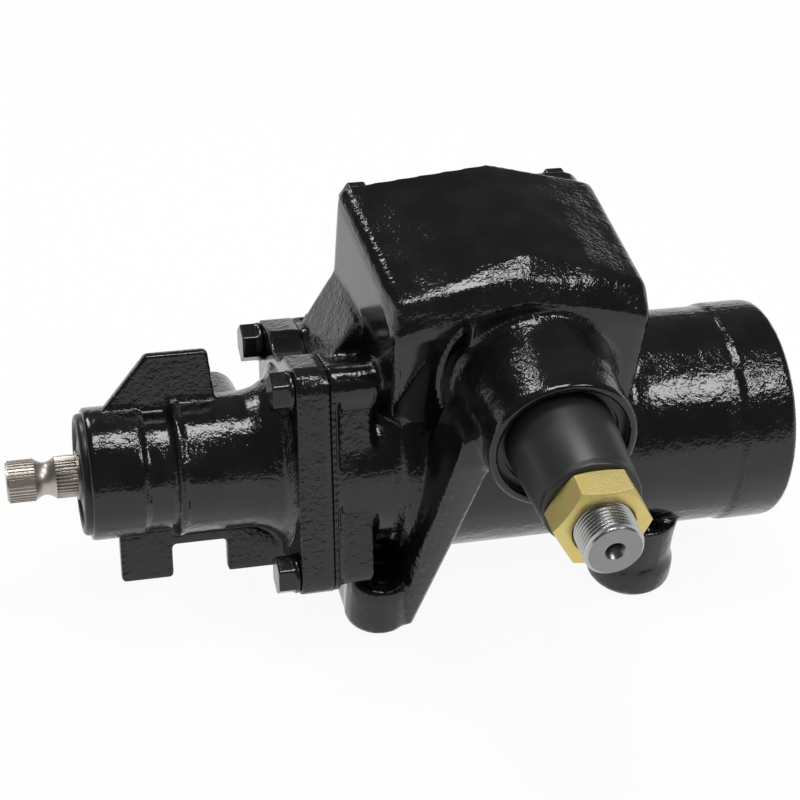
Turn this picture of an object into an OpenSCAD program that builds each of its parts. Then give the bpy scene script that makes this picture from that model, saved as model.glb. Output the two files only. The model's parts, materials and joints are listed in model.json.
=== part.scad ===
// Integral power steering gear of the recirculating-ball kind.
// The worm axis lies along X, the sector shaft points along -Y, and +Z is up from the mounting face.
// Modules draw in the gear's own frame, with the worm axis at y = 0, z = 0 and the sector axis at x = 0.
// The finished frame has its origin at the front left lug's hole, on the mounting face.

/* [Layout] */
// Height of the worm axis above the mounting face
worm_height = 66; // [65:0.5:72]
// Height of the sector shaft axis above the worm axis
sector_offset = 61.5; // [61:0.25:63]

/* [Rack cylinder] */
// Bore of the rack cylinder
bore_d = 82.6; // [82:0.1:84]
// Wall round the rack cylinder
cylinder_wall = 8.7; // [8:0.1:10]
// Distance from the sector axis to the cylinder's open end
cylinder_reach = 131.3; // [129:0.1:140]
// Width of the thick band at the open end
band_w = 24.3; // [22:0.1:30]
// How far the band stands out
band_t = 3; // [2:0.1:5]
// Thickness of the end plug
plug_t = 11; // [9:0.5:13]

/* [Sector chamber] */
// Reach of the chamber's left wall from the sector axis, at the cover face
box_left = 71; // [70:0.5:76]
// Reach of the chamber's right wall from the sector axis
box_right = 50.5; // [50:0.5:58]
// Height of the roof ridge above the sector axis
ridge_rise = 60.5; // [58:0.5:66]
// Height of the left eave above the sector axis
left_rise = 53; // [51:0.5:56]
// Height of the right eave above the sector axis
right_rise = 47; // [45:0.5:49]
// Distance from the worm axis to the chamber's front wall
box_front = 42.5; // [41:0.5:46]
// Distance from the worm axis to the side cover joint
cover_face = 44; // [43.5:0.5:48]
// Radius of the chamber's cast edges
cast_edge_r = 7; // [4:0.5:9]
// Radius of the edges round the chamber's front
front_edge_r = 4; // [3:0.5:6]

/* [Sector boss] */
// Diameter of the sector boss
boss_d = 65.4; // [64:0.2:72]
// Distance from the worm axis to the boss face
boss_reach = 87.5; // [86:0.5:95]
// Wall round the seal recess at the boss mouth
boss_lip = 4; // [3:0.25:5]
// Depth of the seal recess
recess_depth = 16; // [15:0.5:20]

/* [Frame lugs] */
// Thread diameter of the lug holes
lug_thread_d = 12.7; // [10:0.1:14]
// Radius of the front left lug
lug_left_r = 15.5; // [13:0.5:18]
// Height of the front left lug
lug_left_h = 26; // [22:0.5:30]
// Radius of the front right lug
lug_right_r = 20.5; // [16:0.5:23]
// Height of the front right lug
lug_right_h = 40; // [32:0.5:44]
// Radius of the rear lug
lug_rear_r = 16; // [13:0.5:20]
// Height of the rear lug
lug_rear_h = 28; // [24:0.5:34]

/* [Valve housing] */
// Distance from the sector axis to the joint between the housings
joint_reach = 87.5; // [86:0.5:92]
// Thickness of the valve housing flange
flange_t = 15; // [12:0.5:18]
// Bolt spacing across the flange
bolt_span_y = 73.4; // [73:0.2:80]
// Bolt spacing up the flange
bolt_span_z = 86.6; // [86:0.2:94]
// Turn of the valve housing about the worm axis, in degrees
flange_turn = 18.66; // [10:0.5:25]
// Radius of the flange corners round the bolts
flange_corner_r = 10; // [9:0.5:12]
// Diameter of the flange bolts
valve_bolt_d = 11; // [9:0.1:12]
// Length of the valve housing from the joint to its nose
valve_length = 103.3; // [102:0.1:110]
// Diameter of the nose
nose_d = 60; // [58:0.5:64]
// Diameter of the waist behind the nose
waist_d = 56.4; // [54:0.2:58]
// Diameter of the body next to the flange
body_d = 62; // [60:0.5:66]
// Thickness of the cast fins
fin_t = 5.5; // [4:0.25:8]
// Reach of the fins from the worm axis
fin_reach = 54; // [48:0.5:56]
// Bore of the hydraulic port threads
port_d = 14; // [12:0.5:16]
// Diameter of the port bosses
port_boss_d = 22; // [20:0.5:26]

/* [Side cover] */
// Thickness of the side cover
cover_t = 10; // [8:0.5:14]
// Diameter of the side cover bolts
cover_bolt_d = 9.4; // [8:0.1:11]
// Thickness of the cover's sealing ring
cover_seal_t = 2.4; // [2:0.1:3]
// Diameter of the adjuster screw
adjuster_d = 10; // [8:0.5:11]

/* [Input shaft] */
// Diameter over the input splines
spline_d = 19.05; // [18:0.05:20]
// Number of input splines
spline_n = 36; // [24:1:40]
// How far the input shaft stands out of the nose
input_stickout = 34.9; // [32:0.1:45]
// Width of the pinch-bolt groove
groove_w = 9.2; // [7:0.1:10]
// Diameter of the shaft at its seal
stub_d = 22; // [21:0.1:23]
// Diameter of the valve spool on the shaft
spool_d = 28; // [26:0.2:30]
// Diameter of the rotary valve sleeve
sleeve_d = 44; // [42:0.2:45]

/* [Worm and balls] */
// Overall steering ratio, worm turns per sector turn
gear_ratio = 14; // [14:0.5:16]
// Ball diameter
ball_d = 6.35; // [5.5:0.05:6.6]
// Diameter of the circle of ball centres
ball_circle_d = 22; // [21:0.1:22.6]
// Room round a ball in its grooves
groove_room = 0.45; // [0.3:0.05:0.6]

/* [Rack and sector teeth] */
// Pitch radius of the sector
sector_r = 36; // [35:0.25:37]
// Teeth that a full turn of the sector would have
sector_turn_teeth = 14; // [14:1:16]
// Width of the sector's teeth
sector_w = 48; // [40:0.5:50]
// Pressure angle of the teeth
tooth_angle = 25; // [20:0.5:28]
// Backlash along the pitch line
backlash = 0.7; // [0.5:0.05:1]
// Turn of the sector each way from straight ahead, in degrees
sector_swing = 43; // [38:0.5:43]

/* [Sector shaft] */
// Diameter of the sector shaft in its bearings
shaft_d = 35; // [33:0.2:36]
// Diameter of the taper splines at their large end
taper_d = 34; // [32:0.2:34.4]
// Number of taper splines
taper_n = 36; // [24:1:40]
// Thread diameter of the shaft end
thread_d = 25.4; // [24:0.1:26]
// Distance from the worm axis to the tip of the shaft
shaft_reach = 153.2; // [152:0.1:165]
// Nut width across its flats
nut_af = 36.5; // [33:0.5:38]
// Height of the nut
nut_h = 14.5; // [13:0.5:18]
// Turn of the nut about the shaft, in degrees
nut_turn = 1.3; // [0:0.1:30]
// Diameter of the spline guard inside the boss
guard_d = 48; // [46:0.2:52]
// Diameter of the spline guard at the nut
guard_tip_d = 42.4; // [41:0.2:44]

/* [Fits] */
// Radial room of a moving fit
run_fit = 0.06; // [0.02:0.01:0.1]
// Radial room of a seated fit
seat_fit = 0.02; // [0.01:0.01:0.05]

/* [Hidden] */
$fn = 72;
hull_fn = 24;
eps = 0.5;

bore_r = bore_d / 2;
barrel_r = bore_r + cylinder_wall;
neck_r = barrel_r - 4;
joint_x = -joint_reach;
block_end_x = joint_x + 21;
body_start_x = joint_x + 30.5;

// Rack travel and the rack's ends
rack_travel = sector_r * sector_swing * PI / 180;
end_gap = 1.5;
spigot_l = 2.5;
plug_ring_t = 2.5;
plug_inset = 5;
plug_seat_x = cylinder_reach - plug_inset - plug_ring_t - plug_t;
plug_seat_r = bore_r + 3.2;
plug_groove_r = plug_seat_r + 2;
plug_seal_t = 2.6;
plug_seal_in = plug_seat_r - 2.2;
plug_seal_x = plug_seat_x + (plug_t - plug_seal_t) / 2;
rack_left = joint_x + spigot_l + rack_travel + end_gap;
rack_right = plug_seat_x - rack_travel - end_gap;
rack_r = bore_r - run_fit;
head_x = sector_r + 12;
ring_w = 4;
ring_depth = 3;

// Teeth of the rack and sector
tooth_module = 2 * sector_r / sector_turn_teeth;
tooth_pitch = PI * tooth_module;
addendum = 0.8 * tooth_module;
dedendum = tooth_module;
sector_teeth_side = 2;
base_r = sector_r * cos(tooth_angle);
tip_r = sector_r + addendum;
root_r = sector_r - dedendum;
rack_pitch_z = sector_offset - sector_r;
rack_tip_z = rack_pitch_z + addendum;
hub_r = shaft_d / 2 + 3;
chamber_r = tip_r + 2.8;
chamber_front = sector_w / 2 + 3;

// Worm, ball circuit and ball nut
lead = 2 * PI * sector_r / gear_ratio;
ball_r = ball_d / 2;
ball_ring_r = ball_circle_d / 2;
lead_angle = atan(lead / (2 * PI * ball_ring_r));
circuit_x = -10;
circuit_turns = 2;
nut_half = lead * circuit_turns / 2 + ball_r + 2;
nut_bore_r = ball_ring_r + ball_r + groove_room + 0.8;
worm_land_r = ball_ring_r - 0.5;
nut_land_r = ball_ring_r + 0.5;
thread_slices = 20;
worm_thread_half = nut_half + rack_travel + 2;
worm_tip_x = circuit_x + worm_thread_half + 2;
rack_plug_r = nut_bore_r + 1;
rack_plug_t = 10;
ball_step = 1.03 * ball_d / sqrt(pow(ball_ring_r, 2) + pow(lead / (2 * PI), 2)) * 180 / PI;
ball_n = floor(360 * circuit_turns / ball_step);

// Ball return under the nut
guide_r = ball_r + 0.8;
guide_wall = 0.6;
guide_z = -(nut_bore_r + 14);
pocket_half_l = lead * circuit_turns / 2 + guide_r + 3;
pocket_half_w = 9;
pocket_z = guide_z + guide_r;
clamp_t = 1.6;
clamp_w = 9;
clamp_screw_x = 8;
clamp_screw_y = 6.3;
clamp_screw_r = 1.6;

// Valve housing stations, as distances from the joint along -X
retainer_end = 4;
bearing_t = 5.5;
worm_head_t = 6;
head_start = retainer_end + bearing_t;
head_end = head_start + worm_head_t;
bearing_floor = head_end + bearing_t;
sleeve_start = bearing_floor + 1.5;
sleeve_end = sleeve_start + 43.5;
valve_floor = sleeve_end + 2;
needle_end = valve_floor + 18;
nose_x = joint_x - valve_length;
seal_start = needle_end + 2;
seal_t = 8;
seal_ring_t = 1.6;
seal_ring_x = joint_x - seal_start - seal_t;
ring_bite = 1.5;
dust_t = 3.2;
input_tip_x = nose_x - input_stickout;
spline_end_x = nose_x - 4;
groove_end_x = spline_end_x - 9.4;
bearing_r = 28;
worm_head_r = bearing_r - 1;
race_inner_r = 20.4;
race_t = 1.6;
worm_neck_r = 10;
sleeve_r = sleeve_d / 2;
spool_r = spool_d / 2;
stub_r = stub_d / 2;
needle_r = stub_r + 5;
cup_wall = 1.2;
roller_play = 0.05;
seal_bore_r = stub_r + 9;
bar_r = 3.6;
bar_slim_r = 2.7;
slot_half = 3;
slot_end = 6;
sleeve_ring_t = 2.4;
sleeve_ring_depth = 2;
sleeve_pin_r = 1.5;
sleeve_pin_ring = 17.6;
worm_hub_r = sleeve_pin_ring + 2.2;
torsion_pin_r = 1.5;
torsion_pin_x = spline_end_x + 2;

// Flange joint
flange_x = joint_x - flange_t;
bolt_half_y = bolt_span_y / 2;
bolt_half_z = bolt_span_z / 2;
flange_corners = [
    [-bolt_half_y, -bolt_half_z], [bolt_half_y, -bolt_half_z],
    [bolt_half_y, bolt_half_z], [-bolt_half_y, bolt_half_z]
];
flange_dip = 6;
valve_bolt_depth = 16;
bolt_end_gap = 2;
joint_seal_in = bore_r + 1.4;
joint_seal_out = joint_seal_in + 2.4;
joint_seal_t = 1.9;

// Radius of a cast fin's corners
fin_edge_r = 2;

// Ports on the valve housing's rear
port_x = joint_x - 39;
port_half_z = 19;
port_face = body_d / 2 + 9;
port_depth = 16;
port_seat_r = port_d / 2 - 1.6;
port_seat_h = 4;
port_hole_d = 6;

// Side cover
spigot_r = chamber_r - run_fit;
cover_spigot = 13;
rack_clearance = 0.6;
rack_relief_z = sqrt(pow(bore_r + rack_clearance, 2) - pow(cover_face - cover_spigot, 2));
cover_seal_in = spigot_r - cover_seal_t;
cover_seal_y = cover_face - cover_seal_t - 1.5;
cover_disc_r = chamber_r + 4.5;
cover_ear_r = cover_bolt_d / 2 + 5.5;
cover_boss_r = 26;
cover_boss_y = cover_face + cover_t + 12;
cover_left = -(box_left - 13);
cover_right = box_right - 4.5;
cover_low = -22;
cover_high = right_rise - 10.5;
cover_corners = [
    [cover_left, cover_low], [cover_right, cover_low], [cover_right - 9, cover_high], [cover_left, cover_high]
];
cover_bolt_depth = 14;
cover_pad_t = 9;
bushing_r = shaft_d / 2 + 3.5;
bushing_start = cover_face - cover_spigot;
shaft_rear = cover_face + 6;
adjuster_head_r = adjuster_d / 2 + 3;
adjuster_head_t = 4;
adjuster_head_y = shaft_rear - 6;
adjuster_end = cover_boss_y + 14;
locknut_h = 8;
locknut_af = 1.8 * adjuster_d;

// Sector boss and its seal stack, as distances from the worm axis along -Y
bearing_bore_r = shaft_d / 2 + 5;
recess_r = boss_d / 2 - boss_lip;
recess_floor = boss_reach - recess_depth;
sector_seal_t = 7;
sector_washer_t = 2;
sector_ring_t = 2;
guard_gap = 1;
guard_start = recess_floor + sector_seal_t + sector_washer_t + guard_gap;
taper_start = guard_start + 5;
nut_start = shaft_reach - nut_h - 13.8;
guard_lip_t = 2.2;
taper_end = nut_start - guard_lip_t - 0.3;
thread_r = thread_d / 2;
thread_tip_r = thread_r - 0.5;
taper_rate = 1 / 32;

// Frame lugs, as places in the gear's own frame
lug_left = [joint_x + 25.1, -(barrel_r - 7)];
lug_right = [64, -(barrel_r - 14)];
lug_right_hole = [lug_right[0], -(barrel_r - 6.5)];
lug_rear = [-4, barrel_r - 4];

// Shared shapes

// A rod along the worm axis from x0 to x1
module x_rod(r, x0, x1) {
    translate([x0, 0, 0]) rotate([0, 90, 0]) cylinder(r = r, h = x1 - x0);
}

// A body turned about the worm axis from an outline of [radius, x]
module x_turn(outline) {
    rotate([0, 90, 0]) rotate_extrude() polygon(outline);
}

// A tube along the worm axis
module x_tube(inner, outer, x0, x1) {
    x_turn([[inner, x0], [outer, x0], [outer, x1], [inner, x1]]);
}

// A rod along the sector axis from y0 to y1
module y_rod(r, y0, y1) {
    translate([0, y0, sector_offset]) rotate([-90, 0, 0]) cylinder(r = r, h = y1 - y0);
}

// A body turned about the sector axis from an outline of [radius, y]
module y_turn(outline) {
    translate([0, 0, sector_offset]) rotate([-90, 0, 0]) rotate_extrude() polygon(outline);
}

// A tube along the sector axis
module y_tube(inner, outer, y0, y1) {
    y_turn([[inner, y0], [outer, y0], [outer, y1], [inner, y1]]);
}

// A flat outline with round corners of radius r about the given points, in order round the shape
module round_outline(points, r) {
    side_r = r - 0.02;
    polygon(points);
    for (i = [0 : len(points) - 1]) {
        a = points[i];
        b = points[(i + 1) % len(points)];
        run = b - a;
        translate(a) circle(r);
        translate(a) rotate(atan2(run[1], run[0])) translate([0, -side_r]) square([norm(run), 2 * side_r]);
    }
}

// Children turned with the valve housing about the worm axis
module valve_turned() {
    rotate([-flange_turn, 0, 0]) children();
}

// The valve housing's flange outline, as a plate from x0 to x1
module flange_plate(x0, x1, r) {
    scallop_r = 0.4 * bolt_span_y;
    scallop_z = bolt_half_z + r - flange_dip + scallop_r;
    valve_turned() translate([x0, 0, 0]) rotate([90, 0, 90]) linear_extrude(x1 - x0) difference() {
        round_outline(flange_corners, r);
        for (side = [-1, 1]) translate([0, side * scallop_z]) circle(scallop_r);
    }
}

// A rod at every flange bolt
module flange_rods(r, x0, x1) {
    valve_turned() for (p = flange_corners) translate([0, p[0], p[1]]) x_rod(r, x0, x1);
}

// A rod at each of the two upper flange bolts
module flange_ridges(r, x0, x1) {
    valve_turned() for (side = [-1, 1]) translate([0, side * bolt_half_y, bolt_half_z]) x_rod(r, x0, x1);
}

// The side cover's outline, as a plate from y0 to y1 with extra room round it
module cover_plate(y0, y1, room) {
    y_rod(cover_disc_r + room, y0, y1);
    translate([0, y1, sector_offset]) rotate([90, 0, 0])
        linear_extrude(y1 - y0) round_outline(cover_corners, cover_ear_r + room);
}

// A rod at every side cover bolt
module cover_rods(r, y0, y1) {
    for (p = cover_corners) translate([p[0], 0, p[1]]) y_rod(r, y0, y1);
}

// A hex prism with the given width across flats, standing on z = 0
module hex(af, h) {
    cylinder(d = af / cos(30), h = h, $fn = 6);
}

// A hex bolt with a flanged head, its seat at z = 0 and its shank along -z
module hex_bolt(d, shank) {
    af = 1.45 * d;
    head_h = 0.9 * d;
    flange_h = 0.2 * d;
    cylinder(d = 1.14 * af, h = flange_h);
    translate([0, 0, flange_h]) hex(af, head_h - flange_h);
    translate([0, 0, -shank]) cylinder(d = d, h = shank);
}

// The two ports' axes on the valve housing's rear, along z away from the worm axis
module at_ports() {
    valve_turned() for (side = [-1, 1]) translate([port_x, 0, side * port_half_z])
        rotate([-90, 0, 0]) children();
}

// The outline of a splined shaft
module spline_outline(r, n, depth) {
    polygon([
        for (i = [0 : n - 1], k = [[-0.28, 0], [-0.16, 1], [0.16, 1], [0.28, 0]])
            let (a = 360 / n * (i + k[0]), q = r - depth * (1 - k[1]))
            [q * cos(a), q * sin(a)]
    ]);
}

// Main housing

// Children set a radius inside a corner of the chamber, given as [x, height over the sector axis, y]
module at_box_edge(corner, r) {
    x = corner[0] - sign(corner[0]) * r;
    translate([x, corner[2], sector_offset + corner[1] - r]) children();
}

// The gabled chamber round the sector: a roof, a bevel, a steep brow and a front wall that leans in
module sector_box() {
    rear_y = cover_face - 1;
    brow_y = front_edge_r - box_front + 5;
    wall_y = front_edge_r - box_front;
    ridge_x = -10;
    foot = -36;
    rear = [
        [-box_left, left_rise, rear_y], [ridge_x, ridge_rise - 1, rear_y], [box_right, right_rise, rear_y],
        [box_right + 1, foot, rear_y], [-box_left, foot, rear_y]
    ];
    bevel = [
        [-box_left + 5, left_rise - 3, 22.5 - box_front], [ridge_x, ridge_rise, 20.5 - box_front],
        [box_right + 1, right_rise - 5, 13.5 - box_front]
    ];
    front = [
        [-box_left + 8, left_rise - 6.5, brow_y], [ridge_x, ridge_rise - 5, brow_y],
        [box_right - 0.5, right_rise - 10, brow_y],
        [-box_left + 6.5, left_rise - 19.5, wall_y], [ridge_x, ridge_rise - 14, wall_y],
        [box_right + 0.5, right_rise - 15, wall_y],
        [box_right + 1, foot - 12, wall_y + 8.5], [-box_left + 10, foot + 22, wall_y + 6]
    ];
    hull($fn = hull_fn) {
        for (p = rear) at_box_edge(p, cast_edge_r) rotate([-90, 0, 0]) cylinder(r = cast_edge_r, h = 1);
        for (p = bevel) at_box_edge(p, cast_edge_r) sphere(cast_edge_r);
        for (p = front) at_box_edge(p, front_edge_r) sphere(front_edge_r);
    }
}

// The hollow in the chamber's front wall between the boss and the left corner
module front_pocket() {
    floor_y = -chamber_front - 6;
    left_x = -box_left + 11;
    right_x = -boss_d / 2 + 2;
    translate([0, floor_y, 0]) rotate([90, 0, 0]) linear_extrude(box_front) polygon([
        [left_x, sector_offset - 11], [left_x + 18, sector_offset + 26],
        [right_x, sector_offset + 37], [right_x, 0], [left_x, 0]
    ]);
}

// The web from the sector boss down to the front left lug
module boss_web() {
    web_top_z = sector_offset - 8;
    foot_r = 4.5;
    foot_x = lug_left[0] + lug_left_r + 0.5 - foot_r;
    foot_y = lug_left[1] - 6.5;
    hull($fn = hull_fn) {
        translate([-boss_d / 2, -boss_reach + 12, web_top_z]) rotate([-90, 0, 0]) cylinder(r = 8.5, h = 30);
        translate([foot_x, foot_y, -worm_height]) cylinder(r = foot_r, h = lug_left_h - 6);
        translate([foot_x + 3.5, foot_y + 26.5, -worm_height]) cylinder(r = foot_r, h = lug_left_h);
    }
}

// A frame lug: a round pad with a broken lower edge, under a slimmer shank that runs into the casting
module lug(place, r, h, inward, edge, pad_h) {
    shank_r = r - edge / 2;
    translate([place[0], place[1], -worm_height]) {
        rotate_extrude() polygon([
            [0, 0], [r - edge, 0], [r, edge], [r, pad_h], [shank_r, pad_h + edge], [shank_r, h], [0, h]
        ]);
        translate([-shank_r, min(0, inward), 0]) cube([2 * shank_r, abs(inward), h]);
    }
}

// The outside of the main casting
module housing_outside() {
    x_turn([
        [0, joint_x], [neck_r, joint_x], [neck_r, body_start_x], [barrel_r, body_start_x + 3],
        [barrel_r, cylinder_reach - band_w - 2], [barrel_r + band_t, cylinder_reach - band_w],
        [barrel_r + band_t, cylinder_reach - 1.5], [barrel_r + band_t - 1.5, cylinder_reach],
        [0, cylinder_reach]
    ]);
    flange_plate(joint_x, joint_x + 3, flange_corner_r);
    flange_plate(joint_x, block_end_x - 1.5, flange_corner_r - 2.5);
    flange_ridges(flange_corner_r, joint_x, block_end_x + 1);
    difference() {
        sector_box();
        front_pocket();
    }
    cover_plate(cover_face - cover_pad_t, cover_face, 0);
    y_turn([
        [0, -chamber_front], [boss_d / 2 + 6, -chamber_front], [boss_d / 2 + 6, -box_front + 2],
        [boss_d / 2 + 3.2, -box_front - 1.5], [boss_d / 2 + 2, -box_front - 8],
        [boss_d / 2, -box_front - 26],
        [boss_d / 2, -boss_reach + 1], [boss_d / 2 - 1, -boss_reach], [0, -boss_reach]
    ]);
    boss_web();
    gusset();
    lug(lug_left, lug_left_r, lug_left_h, 26, 1.5, lug_left_h - 4);
    lug(lug_right, lug_right_r, lug_right_h, 26, 4, 14);
    lug(lug_rear, lug_rear_r, lug_rear_h, -24, 3, 14);
}

// The sloping rib from the flange up to the chamber's left wall
module gusset() {
    foot_z = sector_offset - 40;
    top_z = sector_offset + 10;
    translate([0, cover_face, 0]) rotate([90, 0, 0]) linear_extrude(cover_face) polygon([
        [joint_x + 1, foot_z], [joint_x + 1, bolt_half_z - 6], [joint_x + 5, bolt_half_z + 4],
        [-box_left + 1, top_z], [-box_left + 12, top_z], [-box_left + 12, foot_z]
    ]);
}

module main_housing() {
    color("#1b1b1c") difference() {
        housing_outside();
        x_rod(bore_r, joint_x - eps, cylinder_reach + eps);
        x_rod(plug_seat_r, plug_seat_x, cylinder_reach + eps);
        x_rod(plug_groove_r, plug_seat_x + plug_t, plug_seat_x + plug_t + plug_ring_t);
        y_rod(chamber_r, -chamber_front, cover_face + eps);
        y_rod(bearing_bore_r, -recess_floor - eps, 0);
        y_rod(recess_r, -boss_reach - eps, -recess_floor);
        y_rod(recess_r + ring_bite, -sector_ring_y(), -sector_ring_y() + sector_ring_t);
        cover_plate(cover_face, cover_face + 30, 1);
        cover_rods(cover_bolt_d / 2 + seat_fit, cover_face - cover_bolt_depth, cover_face + eps);
        flange_rods(valve_bolt_d / 2 + seat_fit, joint_x - eps, joint_x + valve_bolt_depth);
        lug_hole(lug_left, lug_left_h);
        lug_hole(lug_right_hole, lug_right_h);
        lug_hole(lug_rear, lug_rear_h);
    }
}

// A lug's tapped through hole, with room over it for the bolt's end
module lug_hole(place, h) {
    translate([place[0], place[1], -worm_height - eps]) cylinder(d = lug_thread_d, h = h + 2 * eps);
}

function sector_ring_y() = recess_floor + sector_seal_t + sector_washer_t + sector_ring_t;

// Valve housing

// A cast fin in the housing's middle plane, from points of [x, reach]
module fin(points) {
    valve_turned() translate([0, fin_t / 2, 0]) rotate([90, 0, 0])
        linear_extrude(fin_t) round_outline(points, fin_edge_r);
}

module valve_housing() {
    x0 = nose_x;
    low = body_d / 2 - 6;
    web_low = body_d / 2 + 5;
    fin_top = fin_reach - fin_edge_r;
    color("#1b1b1c") difference() {
        union() {
            x_turn([
                [0, x0], [nose_d / 2 - 1, x0], [nose_d / 2, x0 + 1], [nose_d / 2, x0 + 23.3],
                [waist_d / 2, x0 + 25.4], [waist_d / 2, x0 + 37.6],
                [body_d / 2 + 1, x0 + 39], [body_d / 2 + 1, x0 + 41],
                [body_d / 2, x0 + 42.2], [body_d / 2, flange_x - 17], [body_d / 2 + 1.5, flange_x - 10],
                [body_d / 2 + 5, flange_x - 4], [body_d / 2 + 11, flange_x], [0, flange_x]
            ]);
            flange_plate(flange_x, joint_x, flange_corner_r);
            x_rod(bore_r - seat_fit, joint_x - 1, joint_x + spigot_l);
            fin([[x0 + 7.5, low], [x0 + 30.5, fin_top], [x0 + 55.5, fin_top], [x0 + 58.5, low]]);
            fin([[x0 + 15, -low], [x0 + 15, -fin_top], [x0 + 35, -fin_top], [x0 + 35, -low]]);
            fin([[x0 + 17, -low], [x0 + 17, -web_low], [flange_x, -web_low], [flange_x, -low]]);
            fin([[x0 + 64, -low], [x0 + 64, -fin_top], [flange_x, -fin_top], [flange_x, -low]]);
            at_ports() cylinder(d = port_boss_d, h = port_face);
        }
        x_rod(bearing_r + seat_fit, joint_x - bearing_floor, joint_x + spigot_l + eps);
        x_rod(sleeve_r + run_fit, joint_x - valve_floor, joint_x - bearing_floor + eps);
        x_rod(needle_r + seat_fit, joint_x - needle_end - 2, joint_x - valve_floor + eps);
        x_rod(seal_bore_r + seat_fit, x0 - eps, joint_x - seal_start);
        x_rod(seal_bore_r + ring_bite, seal_ring_x - seal_ring_t, seal_ring_x);
        x_tube(joint_seal_in, joint_seal_out, joint_x - joint_seal_t, joint_x + eps);
        flange_rods(valve_bolt_d / 2 + seat_fit, flange_x - eps, joint_x + eps);
        at_ports() translate([0, 0, port_face - port_depth]) cylinder(d = port_d, h = port_depth + eps);
        at_ports() translate([0, 0, port_seat_floor()]) cylinder(r = port_seat_r, h = port_seat_h + eps);
        at_ports() cylinder(d = port_hole_d, h = port_face - port_depth + eps);
    }
}

module valve_housing_bolts() {
    color("#202021") valve_turned() for (p = flange_corners)
        translate([flange_x, p[0], p[1]]) rotate([0, -90, 0])
            hex_bolt(valve_bolt_d, flange_t + valve_bolt_depth - bolt_end_gap);
}

module valve_housing_seal() {
    inner = joint_seal_in + seat_fit;
    outer = joint_seal_out - seat_fit;
    x0 = joint_x - joint_seal_t;
    edge = 0.5;
    color("#101010") x_turn([
        [inner, x0 + edge], [inner + edge, x0], [outer - edge, x0], [outer, x0 + edge],
        [outer, joint_x - edge], [outer - edge, joint_x], [inner + edge, joint_x], [inner, joint_x - edge]
    ]);
}

function port_seat_floor() = port_face - port_depth - port_seat_h;

module port_seats() {
    color("#b8863b") at_ports() translate([0, 0, port_seat_floor()]) difference() {
        cylinder(r = port_seat_r - seat_fit, h = port_seat_h);
        translate([0, 0, -eps]) cylinder(d = port_hole_d, h = port_seat_h + 2 * eps);
    }
}

// Side cover and lash adjuster

module side_cover() {
    color("#1b1b1c") difference() {
        union() {
            cover_plate(cover_face, cover_face + cover_t, 0);
            y_rod(spigot_r, cover_face - cover_spigot, cover_face);
            y_turn([
                [0, cover_face + cover_t], [cover_boss_r + 6, cover_face + cover_t],
                [cover_boss_r, cover_face + cover_t + 5], [cover_boss_r - 2, cover_boss_y],
                [0, cover_boss_y]
            ]);
        }
        y_tube(cover_seal_in, spigot_r + eps, cover_seal_y, cover_seal_y + cover_seal_t);
        y_rod(bushing_r + seat_fit, bushing_start - eps, shaft_rear + 1);
        y_rod(adjuster_d / 2 + seat_fit, shaft_rear, cover_boss_y + eps);
        cover_rods(cover_bolt_d / 2 + seat_fit, cover_face - eps, cover_face + cover_t + eps);
        translate([-cover_disc_r, cover_face - cover_spigot - eps, 0])
            cube([2 * cover_disc_r, cover_spigot - cover_seal_t - 3, rack_relief_z]);
    }
}

module side_cover_bolts() {
    color("#202021") for (p = cover_corners)
        translate([p[0], cover_face + cover_t, sector_offset + p[1]]) rotate([-90, 0, 0])
            hex_bolt(cover_bolt_d, cover_t + cover_bolt_depth - bolt_end_gap);
}

module side_cover_seal() {
    y0 = cover_seal_y + seat_fit;
    y1 = cover_seal_y + cover_seal_t - seat_fit;
    color("#101010") y_tube(cover_seal_in + seat_fit, chamber_r - seat_fit, y0, y1);
}

module cover_bushing() {
    color("#9a7b4f") y_tube(shaft_d / 2 + run_fit, bushing_r, bushing_start, shaft_rear + 1);
}

module adjuster_screw() {
    socket = 0.55 * adjuster_d;
    color("#8d8f92") difference() {
        union() {
            y_rod(adjuster_head_r, adjuster_head_y, adjuster_head_y + adjuster_head_t);
            y_turn([
                [0, adjuster_head_y], [adjuster_d / 2, adjuster_head_y],
                [adjuster_d / 2, adjuster_end - 1], [adjuster_d / 2 - 1, adjuster_end], [0, adjuster_end]
            ]);
        }
        translate([0, adjuster_end - 5, sector_offset]) rotate([-90, 0, 0]) hex(socket, 6);
    }
}

module adjuster_locknut() {
    color("#8d8f92") difference() {
        translate([0, cover_boss_y, sector_offset]) rotate([-90, 0, 0]) hex(locknut_af, locknut_h);
        y_rod(adjuster_d / 2 + seat_fit, cover_boss_y - eps, cover_boss_y + locknut_h + eps);
    }
}

// Cylinder end

module end_plug() {
    r = plug_seat_r - seat_fit;
    x1 = plug_seat_x + plug_t;
    dish = 3;
    color("#3a3a3c") difference() {
        x_turn([
            [0, plug_seat_x], [r, plug_seat_x], [r, x1], [bore_r - 8, x1],
            [bore_r - 11, x1 - dish], [0, x1 - dish]
        ]);
        x_tube(plug_seal_in, plug_seat_r + eps, plug_seal_x, plug_seal_x + plug_seal_t);
    }
}

module end_plug_seal() {
    x0 = plug_seal_x + seat_fit;
    x1 = plug_seal_x + plug_seal_t - seat_fit;
    color("#101010") x_tube(plug_seal_in + seat_fit, plug_seat_r - seat_fit, x0, x1);
}

module end_plug_ring() {
    x0 = plug_seat_x + plug_t;
    gap = 9;
    color("#6b6d70") difference() {
        x_tube(plug_seat_r - 3, plug_groove_r - seat_fit, x0 + seat_fit, x0 + plug_ring_t - seat_fit);
        translate([x0 - eps, -gap / 2, -plug_seat_r - 4]) cube([plug_ring_t + 2 * eps, gap, 12]);
    }
}

// Input shaft, its seals and the rotary valve

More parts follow.
